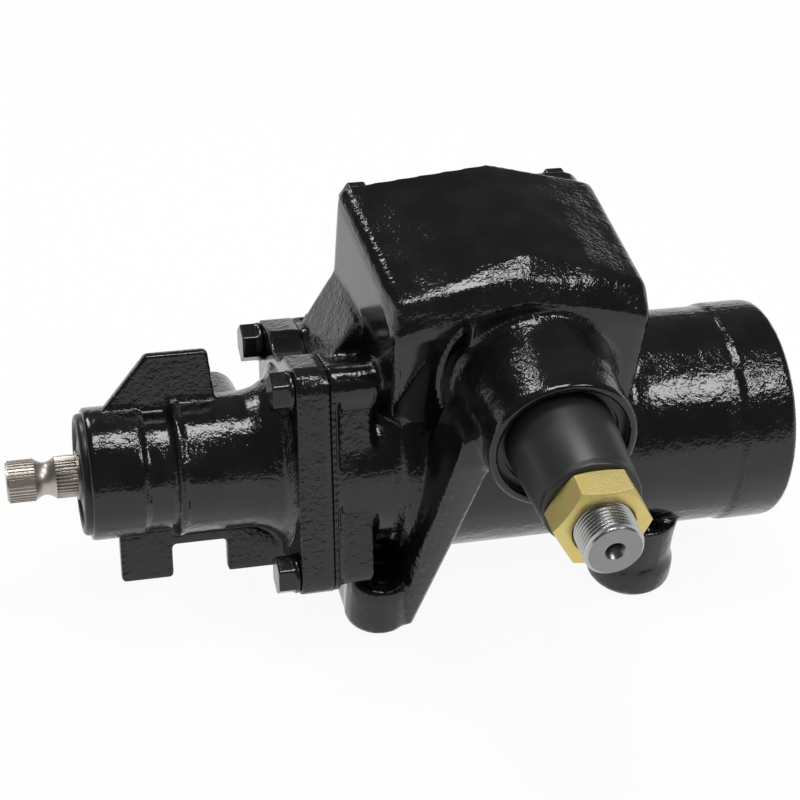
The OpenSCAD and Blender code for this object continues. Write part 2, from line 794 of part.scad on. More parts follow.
module dust_seal() {
    outer = nose_d / 2 - 2.5;
    inner = stub_r + run_fit;
    x0 = nose_x - dust_t;
    color("#161616") x_turn([
        [inner, nose_x - 2], [stub_r + 1, x0 + 0.4], [outer - 5, x0 + 0.4], [outer - 4, x0],
        [outer - 0.8, x0], [outer, x0 + 0.8], [outer, nose_x], [inner, nose_x]
    ]);
}

module input_seal() {
    x1 = joint_x - seal_start;
    color("#161616") x_turn([
        [stub_r + run_fit, x1 - 3], [stub_r + 1.2, x1 - seal_t], [seal_bore_r, x1 - seal_t],
        [seal_bore_r, x1], [stub_r + 3, x1], [stub_r + 3, x1 - 2]
    ]);
}

module input_seal_ring() {
    x0 = seal_ring_x - seal_ring_t;
    gap = 8;
    color("#6b6d70") difference() {
        x_tube(stub_r + 4, seal_bore_r + ring_bite - seat_fit, x0 + seat_fit, seal_ring_x - seat_fit);
        translate([x0 - eps, -gap / 2, -seal_bore_r - 2]) cube([seal_ring_t + 2 * eps, gap, 9]);
    }
}

// A drawn cup of needle rollers along the worm axis
module input_bearing() {
    x0 = joint_x - needle_end;
    x1 = joint_x - valve_floor - 1;
    cup_in = needle_r - cup_wall;
    lip = stub_r + 1.5;
    roller_r = (cup_in - stub_r - run_fit) / 2 - roller_play;
    color("#a9abae") {
        x_turn([
            [cup_in, x0 + 1], [lip, x0 + 1], [lip, x0], [needle_r, x0], [needle_r, x1],
            [lip, x1], [lip, x1 - 1], [cup_in, x1 - 1]
        ]);
        for (a = [0 : 24 : 359]) rotate([a, 0, 0]) translate([0, 0, stub_r + run_fit + roller_r])
            x_rod(roller_r, x0 + cup_wall, x1 - cup_wall);
    }
}

module input_shaft() {
    spool_x0 = joint_x - sleeve_end;
    spool_x1 = joint_x - sleeve_start - 2;
    shoulder_x = joint_x - valve_floor + 1;
    pinch_depth = 2.8;
    color("#8b837a") difference() {
        union() {
            translate([input_tip_x, 0, 0]) rotate([0, 90, 0])
                linear_extrude(spline_end_x - input_tip_x) spline_outline(spline_d / 2, spline_n, 0.7);
            x_rod(stub_r, spline_end_x, shoulder_x);
            x_rod(spool_r - run_fit, shoulder_x, spool_x1);
        }
        x_tube(spline_d / 2 - 1, spline_d, groove_end_x - groove_w, groove_end_x);
        translate([groove_end_x - groove_w, -spline_d, -1.5 * spline_d + pinch_depth])
            cube([groove_w, 2 * spline_d, spline_d]);
        x_tube(spline_d / 2 - 0.8, spline_d, input_tip_x - eps, input_tip_x + 0.8);
        x_rod(bar_r + run_fit, input_tip_x + 4, spool_x1 + eps);
        for (a = [0 : 60 : 359]) rotate([a, 0, 0])
            translate([spool_x0 + slot_end, -slot_half, spool_r - 2])
                cube([spool_x1 - spool_x0 - 2 * slot_end, 2 * slot_half, 4]);
        translate([torsion_pin_x, 0, -stub_r - eps])
            cylinder(r = torsion_pin_r + seat_fit, h = 2 * stub_r + 2 * eps);
    }
}

module torsion_pin() {
    color("#c4c4c2") translate([torsion_pin_x, 0, -stub_r + 0.5])
        cylinder(r = torsion_pin_r, h = 2 * stub_r - 1);
}

module torsion_bar() {
    x0 = input_tip_x + 5;
    x1 = joint_x - head_start - 1;
    pin_room = 0.8;
    color("#b0aca6") difference() {
        x_turn([
            [0, x0], [bar_r, x0], [bar_r, torsion_pin_x + 6], [bar_slim_r, torsion_pin_x + 10],
            [bar_slim_r, x1 - 16], [bar_r, x1 - 12], [bar_r, x1], [0, x1]
        ]);
        translate([torsion_pin_x, 0, -bar_r - eps])
            cylinder(r = torsion_pin_r + pin_room, h = 2 * bar_r + 2 * eps);
    }
}

module valve_sleeve() {
    x0 = joint_x - sleeve_end;
    x1 = joint_x - sleeve_start;
    color("#9c9ea1") difference() {
        x_tube(spool_r, sleeve_r, x0, x1);
        for (k = [0 : 3]) translate([sleeve_ring_x(k), 0, 0])
            x_tube(sleeve_r - sleeve_ring_depth, sleeve_r + eps, 0, sleeve_ring_t);
        for (a = [30 : 60 : 359]) rotate([a, 0, 0])
            translate([x0 + slot_end, -slot_half, spool_r - 3])
                cube([x1 - x0 - 2 * slot_end, 2 * slot_half, 5]);
        for (k = [0 : 2], a = [30 : 120 : 359]) rotate([a, 0, 0])
            translate([(sleeve_ring_x(k) + sleeve_ring_x(k + 1) + sleeve_ring_t) / 2, 0, 0])
                cylinder(d = 4, h = sleeve_r + eps);
        sleeve_pin_at() x_rod(sleeve_pin_r + seat_fit, x1 - 6, x1 + eps);
    }
}

function sleeve_ring_x(k) = joint_x - sleeve_end + 4 + k * 11;

module sleeve_pin_at() {
    translate([0, 0, -sleeve_pin_ring]) children();
}

module valve_sleeve_rings() {
    color("#d8d2c4") for (k = [0 : 3])
        translate([sleeve_ring_x(k), 0, 0]) x_tube(
            sleeve_r - sleeve_ring_depth + seat_fit, sleeve_r + run_fit / 2,
            seat_fit, sleeve_ring_t - seat_fit
        );
}

module sleeve_pin() {
    color("#c4c4c2") sleeve_pin_at()
        x_rod(sleeve_pin_r, joint_x - sleeve_start - 5.5, joint_x - head_end + 3.5);
}

// Worm, its bearings and the ball circuit

// Radius of a ball groove's wall at an axial offset from its middle, inside or outside the ball circle
function groove_wall(offset, side) =
    let (q = (ball_r + groove_room) * (ball_r + groove_room) - pow(offset * cos(lead_angle), 2))
    ball_ring_r + side * sqrt(max(q, 0));

// One cross-section of a screw thread whose groove is cut on the given side of the ball circle
module thread_outline(land_r, side) {
    edge = sqrt(pow(ball_r + groove_room, 2) - pow(land_r - ball_ring_r, 2)) / cos(lead_angle);
    edge_turn = edge / lead * 360;
    groove_steps = 9;
    land_steps = 8;
    polygon(concat(
        [for (i = [0 : groove_steps])
            let (a = edge_turn * (2 * i / groove_steps - 1), q = groove_wall(a / 360 * lead, side))
            q * [cos(a), sin(a)]],
        [for (i = [1 : land_steps - 1])
            let (a = edge_turn + (360 - 2 * edge_turn) * i / land_steps)
            land_r * [cos(a), sin(a)]]
    ));
}

// The thread drawn along X about the middle of the ball circuit, where its groove points down
module screw(half, land_r, side) {
    turns = 2 * half / lead;
    translate([circuit_x - half, 0, 0]) rotate([0, 90, 0]) rotate(-180 * turns)
        linear_extrude(
            2 * half, twist = -360 * turns, slices = ceil(turns * thread_slices), segments = 1
        ) thread_outline(land_r, side);
}

module worm() {
    thread_x0 = circuit_x - worm_thread_half;
    hub_x = joint_x - bearing_floor;
    head_x0 = joint_x - head_end;
    head_x1 = joint_x - head_start;
    core_r = ball_ring_r - ball_r - groove_room - 0.6;
    color("#8f9194") difference() {
        union() {
            screw(worm_thread_half, worm_land_r, -1);
            x_turn([
                [0, hub_x], [worm_hub_r, hub_x], [worm_hub_r, head_x0], [worm_head_r, head_x0],
                [worm_head_r, head_x1], [worm_neck_r + 2, head_x1], [worm_neck_r + 1, joint_x + 2],
                [worm_neck_r, joint_x + 4], [worm_neck_r, thread_x0], [core_r, thread_x0],
                [core_r, worm_tip_x - 1], [core_r - 1, worm_tip_x], [0, worm_tip_x]
            ]);
        }
        x_rod(bar_r + seat_fit, hub_x - eps, head_x1 - 1);
        sleeve_pin_at() x_rod(sleeve_pin_r + seat_fit, hub_x - eps, head_x0 + 4);
    }
}

// One ball thrust bearing: two races with balls between them, from x0 to x1
module thrust_bearing(x0, x1) {
    ring = (race_inner_r + bearing_r) / 2;
    r = (x1 - x0 - 2 * race_t) / 2;
    x_tube(race_inner_r, bearing_r - run_fit, x0, x0 + race_t);
    x_tube(race_inner_r, bearing_r - run_fit, x1 - race_t, x1);
    for (a = [0 : 18 : 359]) rotate([a, 0, 0]) translate([(x0 + x1) / 2, 0, ring]) sphere(r - roller_play);
}

module worm_bearings() {
    play = 0.05;
    color("#a9abae") {
        thrust_bearing(joint_x - bearing_floor, joint_x - head_end - play);
        thrust_bearing(joint_x - head_start + play, joint_x - retainer_end);
    }
}

module bearing_retainer() {
    x0 = joint_x - retainer_end;
    color("#5c5e61") difference() {
        x_tube(worm_neck_r + 5, bearing_r - seat_fit, x0, joint_x + spigot_l - 0.5);
        for (a = [0, 90]) rotate([a, 0, 0])
            translate([joint_x, -bearing_r - 1, -2]) cube([spigot_l + 1, 2 * bearing_r + 2, 4]);
    }
}

module rack_piston() {
    gap_half = tooth_pitch / 4 + backlash / 4;
    flank = tan(tooth_angle);
    over = addendum + eps;
    under = dedendum + 0.4;
    color("#77797c") difference() {
        x_turn([
            [0, rack_left], [rack_r - 2, rack_left], [rack_r, rack_left + 2], [rack_r, rack_right - 2],
            [rack_r - 2, rack_right], [0, rack_right]
        ]);
        translate([rack_left - eps, -bore_r, rack_tip_z])
            cube([head_x - rack_left + eps, 2 * bore_r, bore_r]);
        for (k = [-sector_teeth_side : sector_teeth_side])
            translate([k * tooth_pitch, bore_r, rack_pitch_z]) rotate([90, 0, 0])
                linear_extrude(2 * bore_r) polygon([
                    [-gap_half - over * flank, over], [-gap_half + under * flank, -under],
                    [gap_half - under * flank, -under], [gap_half + over * flank, over]
                ]);
        screw(nut_half, nut_land_r, 1);
        x_rod(nut_bore_r, rack_left - eps, circuit_x - nut_half + 0.3);
        x_rod(nut_bore_r, circuit_x + nut_half - 0.3, rack_right - rack_plug_t + eps);
        x_rod(rack_plug_r + seat_fit, rack_right - rack_plug_t, rack_right + eps);
        x_tube(rack_r - ring_depth, rack_r + eps, piston_ring_x(), piston_ring_x() + ring_w);
        translate([circuit_x - pocket_half_l, -pocket_half_w, -bore_r - eps])
            cube([2 * pocket_half_l, 2 * pocket_half_w, bore_r + pocket_z + eps]);
        at_guide_legs() cylinder(r = guide_r + 0.1, h = -guide_z);
        for (p = clamp_screws()) translate([p[0], p[1], pocket_z - eps])
            cylinder(r = clamp_screw_r + seat_fit, h = 8 + eps);
    }
}

function piston_ring_x() = rack_right - 14;

function clamp_screws() = [
    for (x = [-1, 1], y = [-1, 1]) [circuit_x + x * clamp_screw_x, y * clamp_screw_y]
];

// The two legs of the ball return, from the return's level up to the groove
module at_guide_legs() {
    for (side = [-1, 1]) translate([circuit_x + side * lead * circuit_turns / 2, 0, guide_z]) children();
}

module piston_ring() {
    x0 = piston_ring_x() + seat_fit;
    x1 = piston_ring_x() + ring_w - seat_fit;
    color("#3b3026") x_tube(rack_r - ring_depth + seat_fit, bore_r - run_fit / 2, x0, x1);
}

module rack_plug() {
    drive = 12;
    x0 = rack_right - rack_plug_t;
    color("#5c5e61") difference() {
        x_rod(rack_plug_r, x0 + seat_fit, rack_right);
        translate([rack_right - 6, -drive / 2, -drive / 2]) cube([6 + eps, drive, drive]);
    }
}

module balls() {
    first = -ball_step * (ball_n - 1) / 2;
    color("#c8cacc") for (i = [0 : ball_n - 1]) {
        a = first + i * ball_step;
        translate([circuit_x + lead * a / 360, 0, 0]) rotate([a, 0, 0])
            translate([0, 0, -ball_ring_r]) sphere(ball_r);
    }
}

// The bent return tube, as an outline of radius r
module guide_path(r) {
    half = lead * circuit_turns / 2;
    at_guide_legs() {
        sphere(r);
        cylinder(r = r, h = -guide_z - nut_bore_r - 0.5);
    }
    translate([0, 0, guide_z]) x_rod(r, circuit_x - half, circuit_x + half);
}

module ball_guide() {
    color("#b9a36a") difference() {
        guide_path(guide_r);
        guide_path(guide_r - guide_wall);
        at_guide_legs() cylinder(r = guide_r - guide_wall, h = -guide_z);
    }
}

module ball_guide_clamp() {
    reach = clamp_screw_y + 2.4;
    lift = guide_r + 0.05;
    half = clamp_screw_x + clamp_w / 2;
    color("#8d8f92") difference() {
        union() {
            translate([circuit_x - half, -reach, pocket_z - clamp_t])
                cube([2 * half, 2 * reach, clamp_t]);
            translate([0, 0, guide_z])
                x_rod(lift + clamp_t, circuit_x - clamp_w / 2, circuit_x + clamp_w / 2);
        }
        translate([0, 0, guide_z]) x_rod(lift, circuit_x - half - eps, circuit_x + half + eps);
        translate([circuit_x - half - eps, -lift, guide_z])
            cube([2 * half + 2 * eps, 2 * lift, 2 * guide_r]);
        translate([circuit_x - half - eps, -reach - eps, pocket_z])
            cube([2 * half + 2 * eps, 2 * reach + 2 * eps, guide_r + clamp_t]);
        for (p = clamp_screws()) translate([p[0], p[1], pocket_z - clamp_t - eps])
            cylinder(r = clamp_screw_r + seat_fit, h = clamp_t + 2 * eps);
    }
}

module ball_guide_screws() {
    color("#8d8f92") for (p = clamp_screws()) translate([p[0], p[1], pocket_z - clamp_t]) {
        cylinder(r = clamp_screw_r, h = clamp_t + 7);
        translate([0, 0, -1.4]) cylinder(r = clamp_screw_r + 1, h = 1.4);
    }
}

// Sector shaft, its bearings and the parts on its end

function involute_turn(q) = let (a = acos(min(1, base_r / q))) tan(a) * 180 / PI - a;

// Half the angle of a sector tooth at radius q
function tooth_half(q) =
    (tooth_pitch / 4 - backlash / 4) / sector_r * 180 / PI
    + involute_turn(sector_r) - involute_turn(max(q, base_r));

// The direction straight down, turned by an angle
function down_turned(a) = [sin(a), -cos(a)];

// The toothed sector, with its middle tooth pointing down
module sector_outline() {
    step = 360 / sector_turn_teeth;
    start_r = max(base_r, root_r);
    flank_r = concat([root_r], [for (i = [0 : 6]) start_r + (tip_r - start_r) * i / 6]);
    n = len(flank_r);
    spread = (sector_teeth_side + 0.45) * step;
    back = spread + 25;
    polygon(concat(
        [root_r * down_turned(-spread)],
        [for (k = [-sector_teeth_side : sector_teeth_side], i = [0 : 2 * n - 1])
            let (side = i < n ? -1 : 1, q = i < n ? flank_r[i] : flank_r[2 * n - 1 - i])
            q * down_turned(k * step + side * tooth_half(q))],
        [root_r * down_turned(spread), hub_r * down_turned(back), hub_r * down_turned(-back)]
    ));
}

module sector_shaft() {
    slot_y = adjuster_head_y - 0.2;
    slot_h = adjuster_head_t + 0.4;
    head_w = 2 * adjuster_head_r + 0.6;
    neck_w = adjuster_d + 0.8;
    shaft_r = shaft_d / 2;
    taper_l = taper_end - taper_start;
    thread_end = nut_start + nut_h + 0.4;
    color("#8a8c8f") difference() {
        union() {
            translate([0, sector_w / 2, sector_offset]) rotate([90, 0, 0])
                linear_extrude(sector_w) sector_outline();
            y_rod(hub_r, -sector_w / 2, sector_w / 2);
            y_turn([
                [0, shaft_rear - 0.3], [shaft_r - 1, shaft_rear - 0.3], [shaft_r, shaft_rear - 1.3],
                [shaft_r, -taper_start + 1.5], [shaft_r - 1.5, -taper_start], [0, -taper_start]
            ]);
            translate([0, -taper_start + eps, sector_offset]) rotate([90, 0, 0])
                linear_extrude(taper_l + eps, scale = 1 - 2 * taper_l * taper_rate / taper_d)
                    spline_outline(taper_d / 2, taper_n, 0.9);
            y_turn([
                [0, -taper_start], [thread_r, -taper_start], [thread_r, -thread_end],
                [thread_tip_r, -thread_end], [thread_tip_r, -shaft_reach + 1.2],
                [thread_tip_r - 1.2, -shaft_reach], [0, -shaft_reach]
            ]);
        }
        y_turn([
            [0, -shaft_reach - eps], [4.6, -shaft_reach - eps], [2.2, -shaft_reach + 4],
            [2.2, -shaft_reach + 9], [0, -shaft_reach + 10.3]
        ]);
        translate([-shaft_r - 1, slot_y, sector_offset - head_w / 2])
            cube([2 * shaft_r + 2, slot_h, head_w]);
        translate([-shaft_r - 1, slot_y, sector_offset - neck_w / 2])
            cube([2 * shaft_r + 2, 20, neck_w]);
    }
}

// A drawn cup of needle rollers in the boss
module sector_bearing() {
    y0 = -recess_floor + 0.5;
    y1 = -chamber_front - 1;
    inner = shaft_d / 2 + run_fit;
    cup = bearing_bore_r - seat_fit;
    cup_in = cup - cup_wall;
    lip = inner + 1.5;
    roller_r = (cup_in - inner) / 2 - roller_play;
    color("#a9abae") {
        y_turn([
            [cup_in, y0 + 1], [lip, y0 + 1], [lip, y0], [cup, y0], [cup, y1],
            [lip, y1], [lip, y1 - 1], [cup_in, y1 - 1]
        ]);
        for (a = [0 : 15 : 359]) translate([0, 0, sector_offset]) rotate([0, a, 0])
            translate([inner + roller_r, y0 + cup_wall, 0]) rotate([-90, 0, 0])
                cylinder(r = roller_r, h = y1 - y0 - 2 * cup_wall);
    }
}

module sector_seal() {
    y1 = -recess_floor;
    inner = shaft_d / 2 + run_fit;
    color("#161616") y_turn([
        [inner, y1 - 3], [inner + 1, y1 - sector_seal_t], [recess_r - seat_fit, y1 - sector_seal_t],
        [recess_r - seat_fit, y1], [inner + 5, y1], [inner + 4, y1 - 2]
    ]);
}

module sector_washer() {
    y1 = -recess_floor - sector_seal_t;
    color("#6b6d70") y_tube(shaft_d / 2 + 1, recess_r - seat_fit, y1 - sector_washer_t, y1);
}

module sector_seal_ring() {
    y1 = -recess_floor - sector_seal_t - sector_washer_t;
    gap = 9;
    color("#6b6d70") difference() {
        y_tube(recess_r - 3.2, recess_r + ring_bite - seat_fit, y1 - sector_ring_t + seat_fit, y1 - seat_fit);
        translate([-gap / 2, y1 - sector_ring_t - eps, sector_offset - recess_r - 3])
            cube([gap, sector_ring_t + 2 * eps, 9]);
    }
}

// The tapered sleeve that covers the output splines, closed to a lip under the nut
module spline_guard() {
    y0 = -guard_start;
    y1 = -nut_start;
    wide = guard_d / 2;
    tip = guard_tip_d / 2;
    bore = max(taper_d, shaft_d) / 2 + 0.3;
    color("#171718") y_turn([
        [bore + 1.2, y0], [wide, y0], [tip + 0.4, y1 + 5], [tip, y1 + 4], [tip, y1 + 0.6],
        [tip - 0.6, y1], [thread_r + 0.3, y1], [thread_r + 0.3, y1 + guard_lip_t],
        [bore, y1 + guard_lip_t], [bore, y0 - 3]
    ]);
}

// A hex nut with both faces chamfered
module pitman_nut() {
    corner = nut_af / 2 / cos(30) + 0.1;
    flat = nut_af / 2 - 0.6;
    edge = 1.6;
    nut_end = -nut_start - nut_h;
    color("#b89a4c") translate([0, 0, sector_offset]) difference() {
        intersection() {
            translate([0, -nut_start, 0]) rotate([90, -nut_turn, 0]) hex(nut_af, nut_h);
            rotate([-90, 0, 0]) rotate_extrude() polygon([
                [0, -nut_start], [flat, -nut_start], [corner, -nut_start - edge],
                [corner, nut_end + edge], [flat, nut_end], [0, nut_end]
            ]);
        }
        rotate([-90, 0, 0]) rotate_extrude() polygon([
            [0, -nut_start + eps], [thread_r + seat_fit, -nut_start + eps],
            [thread_r + seat_fit, nut_end + 1], [thread_r + 1.4, nut_end - eps], [0, nut_end - eps]
        ]);
    }
}

// The gear's own frame moved so that the front left lug's hole meets the mounting face at the origin
module on_mounting_face() {
    translate([-lug_left[0], -lug_left[1], worm_height]) children();
}

on_mounting_face() main_housing();
on_mounting_face() valve_housing();
on_mounting_face() valve_housing_bolts();
on_mounting_face() valve_housing_seal();
on_mounting_face() side_cover();
on_mounting_face() side_cover_bolts();
on_mounting_face() side_cover_seal();
on_mounting_face() cover_bushing();
on_mounting_face() adjuster_screw();
on_mounting_face() adjuster_locknut();
on_mounting_face() end_plug();
on_mounting_face() end_plug_seal();
on_mounting_face() end_plug_ring();
on_mounting_face() dust_seal();
on_mounting_face() input_seal();
on_mounting_face() input_seal_ring();
on_mounting_face() input_bearing();
on_mounting_face() port_seats();
on_mounting_face() input_shaft();
on_mounting_face() torsion_pin();
on_mounting_face() torsion_bar();
on_mounting_face() valve_sleeve();
on_mounting_face() valve_sleeve_rings();
on_mounting_face() sleeve_pin();
on_mounting_face() worm();
on_mounting_face() worm_bearings();
on_mounting_face() bearing_retainer();
on_mounting_face() rack_piston();
on_mounting_face() piston_ring();
on_mounting_face() rack_plug();
on_mounting_face() balls();
on_mounting_face() ball_guide();
on_mounting_face() ball_guide_clamp();
on_mounting_face() ball_guide_screws();
on_mounting_face() sector_shaft();
on_mounting_face() sector_bearing();
on_mounting_face() sector_seal();
on_mounting_face() sector_washer();
on_mounting_face() sector_seal_ring();
on_mounting_face() spline_guard();
on_mounting_face() pitman_nut();
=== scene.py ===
"""The looks of a power steering gearbox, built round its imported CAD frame.

Lengths are metres in the part's own frame: the worm axis runs along X, the output shaft points
along -Y, and Z is up from the mounting face.
"""

import json
import math

import bmesh
import bpy
from mathutils import Matrix, Vector


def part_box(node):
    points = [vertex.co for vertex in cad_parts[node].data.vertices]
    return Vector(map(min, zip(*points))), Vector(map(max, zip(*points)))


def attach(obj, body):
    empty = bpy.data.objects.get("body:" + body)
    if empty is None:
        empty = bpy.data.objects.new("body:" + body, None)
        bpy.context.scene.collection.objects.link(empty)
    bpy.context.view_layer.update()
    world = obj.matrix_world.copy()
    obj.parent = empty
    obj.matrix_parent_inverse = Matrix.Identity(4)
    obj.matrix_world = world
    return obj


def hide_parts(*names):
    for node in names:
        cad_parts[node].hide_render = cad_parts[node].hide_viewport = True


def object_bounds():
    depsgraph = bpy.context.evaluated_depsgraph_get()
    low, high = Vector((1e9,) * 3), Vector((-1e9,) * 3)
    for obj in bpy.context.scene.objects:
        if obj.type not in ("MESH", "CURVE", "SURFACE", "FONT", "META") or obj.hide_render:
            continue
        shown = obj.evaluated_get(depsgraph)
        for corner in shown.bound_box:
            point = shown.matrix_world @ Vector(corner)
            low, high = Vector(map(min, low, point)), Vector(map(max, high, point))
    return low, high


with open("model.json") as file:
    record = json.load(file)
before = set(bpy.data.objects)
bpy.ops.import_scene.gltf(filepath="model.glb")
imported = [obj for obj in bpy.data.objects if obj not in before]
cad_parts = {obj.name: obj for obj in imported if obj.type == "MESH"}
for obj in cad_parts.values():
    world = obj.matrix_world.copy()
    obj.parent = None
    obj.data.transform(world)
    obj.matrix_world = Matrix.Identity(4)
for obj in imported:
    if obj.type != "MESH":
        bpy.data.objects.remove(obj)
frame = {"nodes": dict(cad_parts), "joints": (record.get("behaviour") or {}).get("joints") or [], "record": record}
cad_low, cad_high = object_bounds()

MM = 0.001
WELD = MM / 1000
FULL_TURN = 2 * math.pi
X, Y, Z = range(3)
ALONG_X = Vector((1, 0, 0))
ALONG_Y = Vector((0, 1, 0))
ALONG_Z = Vector((0, 0, 1))
OUT = -ALONG_Y

nodes = frame["nodes"]
record = frame["record"]
joints = {joint["name"]: joint for joint in frame["joints"]}
worm_axis = Vector(joints["worm_turn"]["pos_m"])
sector_axis = Vector(joints["sector_turn"]["pos_m"])
valve_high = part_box("valve_housing")[1]
dust_low, dust_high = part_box("dust_seal")
guard_low, guard_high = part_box("spline_guard")
nut_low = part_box("pitman_nut")[0]
shaft_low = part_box("sector_shaft")[0]


# Materials


class Socket:
    """A node's output that takes part in Python arithmetic by adding Math nodes."""

    def __init__(self, finish, output):
        self.finish = finish
        self.output = output

    def join(self, operation, other):
        return self.finish.node("Math", {"operation": operation}, {0: self, 1: other})

    def __add__(self, other):
        return self.join("ADD", other)

    def __mul__(self, other):
        return self.join("MULTIPLY", other)

    def __pow__(self, other):
        return self.join("POWER", other)

    __radd__ = __add__
    __rmul__ = __mul__


class Finish:
    """One node-based material, with a method for each kind of node that it uses."""

    def __init__(self, name, **constants):
        self.material = bpy.data.materials.new(name)
        self.material.use_nodes = True
        self.tree = self.material.node_tree
        self.shader = self.tree.nodes["Principled BSDF"]
        self.feed(**constants)

    def node(self, kind, settings=None, inputs=None, output=0):
        """Adds a node with its settings and its sockets' values or links, and returns an output."""
        made = self.tree.nodes.new("ShaderNode" + kind)
        for name, value in (settings or {}).items():
            setattr(made, name, value)
        for key, value in (inputs or {}).items():
            self.set_input(made.inputs[key], value)
        return Socket(self, made.outputs[output])

    def set_input(self, socket, value):
        if isinstance(value, Socket):
            self.tree.links.new(value.output, socket)
        else:
            socket.default_value = value

    def feed(self, **values):
        """Sets or links the shader's own sockets."""
        for name, value in values.items():
            self.set_input(self.shader.inputs[name.replace("_", " ")], value)

    def place(self, centre=None):
        """The point on the object, from its origin or from a centre."""
        spot = self.node("TexCoord", output="Object")
        if centre is None:
            return spot
        return self.node("VectorMath", {"operation": "SUBTRACT"}, {0: spot, 1: centre})

    def noise(self, spot, grain, detail=2.0):
        inputs = {"Vector": spot, "Scale": 1 / grain, "Detail": detail}
        return self.node("TexNoise", inputs=inputs)

    def cells(self, spot, size):
        inputs = {"Vector": spot, "Scale": 1 / size}
        return self.node("TexVoronoi", {"feature": "SMOOTH_F1"}, inputs)

    def between(self, value, low, high):
        """0 under low, 1 over high, and a smooth step in between."""
        settings = {"interpolation_type": "SMOOTHSTEP"}
        return self.node("MapRange", settings, {0: value, 1: low, 2: high})

    def blend(self, factor, first, second):
        """A mix of two colours."""
        inputs = {0: factor, 6: first, 7: second}
        return self.node("Mix", {"data_type": "RGBA"}, inputs, output=2)

    def parts(self, spot):
        """The three coordinates of a point, each as a value."""
        return [self.node("SeparateXYZ", inputs={0: spot}, output=axis) for axis in (X, Y, Z)]

    def bump(self, height):
        """A bump whose height is in millimetres."""
        return self.node("Bump", inputs={"Strength": 1.0, "Distance": MM, "Height": height})


def colour(red, green, blue):
    return (red, green, blue, 1.0)


def grey(level):
    return colour(level, level, level)


def cast_paint():
    """Gloss black paint over a sand-cast skin; smoother where the cast attribute is low."""
    finish = Finish("cast paint", IOR=1.5)
    spot = finish.place()
    lumps = finish.noise(spot, 5 * MM, detail=1.0)
    grains = finish.noise(spot, 1.0 * MM, detail=1.0)
    pits = finish.cells(spot, 2.0 * MM)
    patches = finish.between(finish.noise(spot, 20 * MM), 0.4, 0.62)
    cast = finish.node("Attribute", {"attribute_name": "cast"}, output="Fac")
    fine = grains * (0.1 + patches * 0.14) + pits * (0.12 + patches * 0.14)
    height = lumps * 0.24 + fine
    finish.feed(
        Base_Color=finish.blend(patches, grey(0.005), grey(0.008)),
        Roughness=0.07 + grains * 0.1,
        Normal=finish.bump(height * (0.05 + cast * 0.95)),
    )
    return finish.material


def bolt_paint():
    """Gloss black paint on forged bolt heads."""
    finish = Finish("bolt paint", IOR=1.5)
    runs = finish.noise(finish.place(), 2.5 * MM)
    finish.feed(
        Base_Color=finish.blend(runs, grey(0.006), grey(0.01)),
        Roughness=0.12 + runs * 0.1,
        Normal=finish.bump(runs * 0.08),
    )
    return finish.material


def turned_steel(name, centre, bright, dark, roughness, axis=Y):
    """Machined steel with fine tool rings round an axis."""
    finish = Finish(name, Metallic=1.0)
    x, y, z = finish.parts(finish.place(centre))
    along, across = (y, x) if axis == Y else (x, y)
    radius = (across * across + z * z) ** 0.5
    ring_spot = finish.node("CombineXYZ", inputs={0: along, 1: radius})
    rings = finish.noise(ring_spot, 0.35 * MM, detail=1.0)
    stain = finish.noise(finish.place(), 5 * MM)
    finish.feed(
        Base_Color=finish.blend(rings * 0.5 + stain * 0.5, dark, bright),
        Roughness=roughness + stain * 0.1,
        Normal=finish.bump(rings * 0.004),
    )
    return finish.material


def plain_metal(name, dark, bright, roughness):
    """A metal with a faint cloudy sheen."""
    finish = Finish(name, Metallic=1.0)
    clouds = finish.noise(finish.place(), 5 * MM, detail=4.0)
    finish.feed(
        Base_Color=finish.blend(clouds, dark, bright),
        Roughness=roughness + clouds * 0.12,
    )
    return finish.material


def yellow_zinc():
    """Yellow zinc plate with orange tints and a fine speckle."""
    finish = Finish("yellow zinc", Metallic=1.0)
    spot = finish.place()
    clouds = finish.between(finish.noise(spot, 9 * MM), 0.35, 0.65)
    tints = finish.between(finish.noise(spot, 1.3 * MM), 0.48, 0.66)
    speckle = finish.noise(spot, 0.7 * MM)
    gold = finish.blend(clouds, colour(0.65, 0.52, 0.14), colour(0.63, 0.57, 0.19))
    tinted = finish.blend(tints * 0.7, gold, colour(0.86, 0.45, 0.28))
    finish.feed(
        Base_Color=finish.blend(speckle * 0.5, tinted, colour(0.8, 0.74, 0.37)),
        Roughness=0.42 + speckle * 0.12,
        Normal=finish.bump(speckle * 0.11 + tints * 0.01),
    )
    return finish.material


def moulded_plastic():
    """Satin black plastic with a very fine grain."""
    finish = Finish("guard plastic", IOR=1.46)
    grain = finish.noise(finish.place(), 0.6 * MM)
    finish.feed(
        Base_Color=finish.blend(grain, grey(0.018), grey(0.026)),
        Roughness=0.36 + grain * 0.06,
        Normal=finish.bump(grain * 0.006),
    )
    return finish.material


def seal_rubber():
    """Black rubber, a little dusty."""
    finish = Finish("seal rubber", IOR=1.45)
    dust = finish.noise(finish.place(), 2 * MM, detail=4.0)
    finish.feed(
        Base_Color=finish.blend(dust, grey(0.006), grey(0.014)),
        Roughness=0.26 + dust * 0.14,
        Normal=finish.bump(dust * 0.03),
    )
    return finish.material


